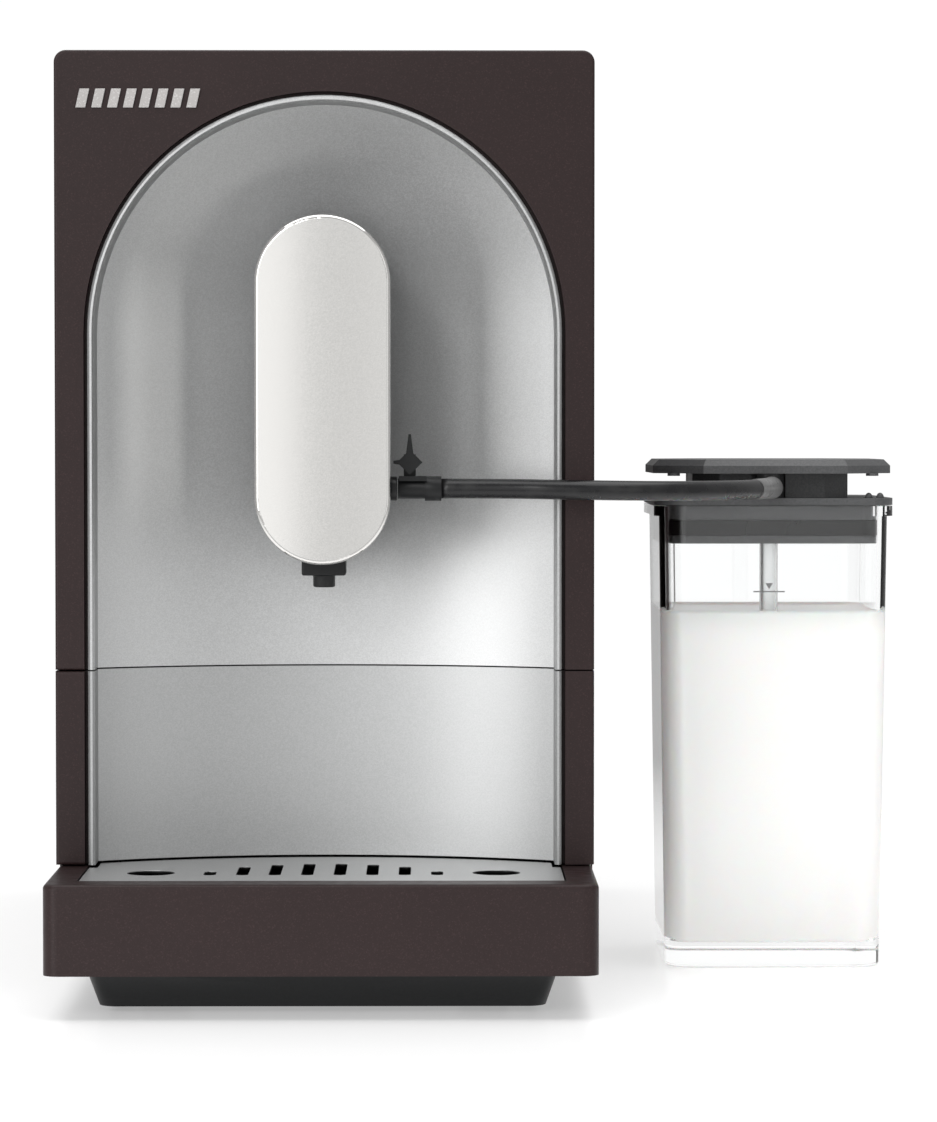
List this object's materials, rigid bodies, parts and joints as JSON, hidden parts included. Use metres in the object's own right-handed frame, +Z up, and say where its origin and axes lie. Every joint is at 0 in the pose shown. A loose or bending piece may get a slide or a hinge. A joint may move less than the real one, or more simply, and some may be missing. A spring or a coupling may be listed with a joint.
{
  "type": "pod coffee machine",
  "caption": "Compact countertop pod coffee machine with an arched niche, height-adjustable spout, slide-out drip and capsule drawers, and a side milk container joined by a hose.",
  "frame": {"origin": "middle of the machine's underside, at the middle foot's face on the worktop", "axes": "+X to the machine's right as seen from the front, +Y to the back, +Z up"},
  "size_m": [0.288, 0.3878, 0.318],
  "materials": {
    "body_brown": "dark brown metallic lacquer on moulded plastic, satin",
    "base_black": "fine-textured black moulding",
    "rubber": "soft black",
    "niche_silver": "satin silver with fine sparkle",
    "spout_silver": "glossy silver lacquer",
    "chrome_trim": "polished",
    "steel": "plain sheet",
    "cast_aluminium": "as cast",
    "white_plastic": "natural moulding",
    "board_green": "solder mask",
    "key_silver": "satin silver",
    "clear_plastic": "clear moulded container",
    "tank_plastic": "smoked clear container",
    "lid_grey": "satin dark grey moulding",
    "milk": "milk in the container"
  },
  "bodies": {
    "housing": {"base_housing": "base_black", "rubber_feet": "rubber", "front_frame": "body_brown", "nameplate": "chrome_trim", "niche_panel": "niche_silver", "left_side_panel": "body_brown", "right_side_panel": "body_brown", "top_cover": "body_brown", "rear_cover": "body_brown", "housing_screws": "steel", "chassis": "base_black", "drawer_rails": "base_black", "pump": "steel", "pump_mounts": "rubber", "flow_meter": "white_plastic", "steam_valve": "steel", "thermoblock": "cast_aluminium", "brew_unit_body": "base_black", "needle_plate": "steel", "pod_chute": "base_black", "control_boards": "board_green", "button_bezel": "base_black", "tank_dock": "base_black", "power_inlet": "base_black", "water_hoses": "rubber", "wiring": "rubber", "spout_guide": "base_black", "lever_pin": "steel"},
    "spout": {"spout_cover": "spout_silver", "spout_trim": "chrome_trim", "spout_carriage": "base_black", "coffee_nozzle": "base_black", "milk_frother": "base_black", "milk_port": "base_black"},
    "milk_connector": {"hose_connector": "base_black"},
    "knob": {"froth_knob": "base_black"},
    "lever": {"pod_lever": "body_brown"},
    "piston": {"brew_piston": "white_plastic", "piston_seal": "rubber"},
    "key_1": {"espresso_button": "key_silver"},
    "key_2": {"long_coffee_button": "key_silver"},
    "key_3": {"milk_coffee_button": "key_silver"},
    "key_4": {"rinse_button": "key_silver"},
    "switch": {"power_switch": "base_black"},
    "tank": {"water_tank": "tank_plastic", "tank_valve": "white_plastic"},
    "tank_cap": {"tank_lid": "tank_plastic"},
    "pod_drawer": {"pod_bin": "base_black", "bin_front": "body_brown", "lower_niche_panel": "niche_silver"},
    "drip_drawer": {"drip_tray": "base_black", "drip_bezel": "body_brown"},
    "grille": {"drip_grille": "niche_silver"},
    "jug": {"milk_jug": "clear_plastic"},
    "jug_lid": {"lid_base": "lid_grey", "lid_top": "lid_grey", "lid_seal": "rubber", "intake_tube": "clear_plastic", "hose_elbow": "lid_grey", "milk_hose": "rubber"}
  },
  "joints": [
    {"name": "spout_height", "type": "slide", "parent": "housing", "child": "spout", "axis": [0, 0, 1], "range_m": [-0.015, 0.03]},
    {"name": "lever_lift", "type": "hinge", "parent": "housing", "child": "lever", "pos_m": [0, 0, 0.3116], "axis": [-1, 0, 0], "range_deg": [0, 100]},
    {"name": "piston_travel", "type": "slide", "parent": "housing", "child": "piston", "axis": [0, 1, 0], "range_m": [0, 0.014]},
    {"name": "espresso_press", "type": "slide", "parent": "housing", "child": "key_1", "axis": [0, 0, -1], "range_m": [0, 0.0014], "stiffness_N_per_m": 400, "springref_m": -0.0005},
    {"name": "long_coffee_press", "type": "slide", "parent": "housing", "child": "key_2", "axis": [0, 0, -1], "range_m": [0, 0.0014], "stiffness_N_per_m": 400, "springref_m": -0.0005},
    {"name": "milk_coffee_press", "type": "slide", "parent": "housing", "child": "key_3", "axis": [0, 0, -1], "range_m": [0, 0.0014], "stiffness_N_per_m": 400, "springref_m": -0.0005},
    {"name": "rinse_press", "type": "slide", "parent": "housing", "child": "key_4", "axis": [0, 0, -1], "range_m": [0, 0.0014], "stiffness_N_per_m": 400, "springref_m": -0.0005},
    {"name": "switch_rock", "type": "hinge", "parent": "housing", "child": "switch", "pos_m": [0.05, 0.1595, 0.075], "axis": [1, 0, 0], "range_deg": [-7, 7]},
    {"name": "tank_lift", "type": "slide", "parent": "housing", "child": "tank", "axis": [0, 0, 1], "range_m": [0, 0.2]},
    {"name": "tank_lid_hinge", "type": "hinge", "parent": "tank", "child": "tank_cap", "pos_m": [0, 0.1565, 0.3137], "axis": [-1, 0, 0], "range_deg": [0, 95]},
    {"name": "pod_drawer_slide", "type": "slide", "parent": "housing", "child": "pod_drawer", "axis": [0, -1, 0], "range_m": [0, 0.13]},
    {"name": "drip_drawer_slide", "type": "slide", "parent": "housing", "child": "drip_drawer", "axis": [0, -1, 0], "range_m": [0, 0.15]},
    {"name": "grille_lift", "type": "slide", "parent": "drip_drawer", "child": "grille", "axis": [0, 0, 1], "range_m": [0, 0.05]},
    {"name": "jug_slide", "type": "slide", "parent": "housing", "child": "jug", "axis": [1, 0, 0], "range_m": [0, 0.1]},
    {"name": "jug_lid_lift", "type": "slide", "parent": "jug", "child": "jug_lid", "axis": [0, 0, 1], "range_m": [0, 0.17]},
    {"name": "connector_follow", "type": "slide", "parent": "jug_lid", "child": "milk_connector", "axis": [0, 0, 1], "range_m": [-0.015, 0.03]},
    {"name": "froth_turn", "type": "hinge", "parent": "milk_connector", "child": "knob", "pos_m": [0.0284, -0.171, 0.1786], "axis": [0, 1, 0], "range_deg": [0, 90]}
  ],
  "couplings": [
    {"joint": "piston_travel", "follows": "lever_lift", "m_per_rad": 0.00802},
    {"joint": "connector_follow", "follows": "spout_height", "ratio": 1}
  ]
}
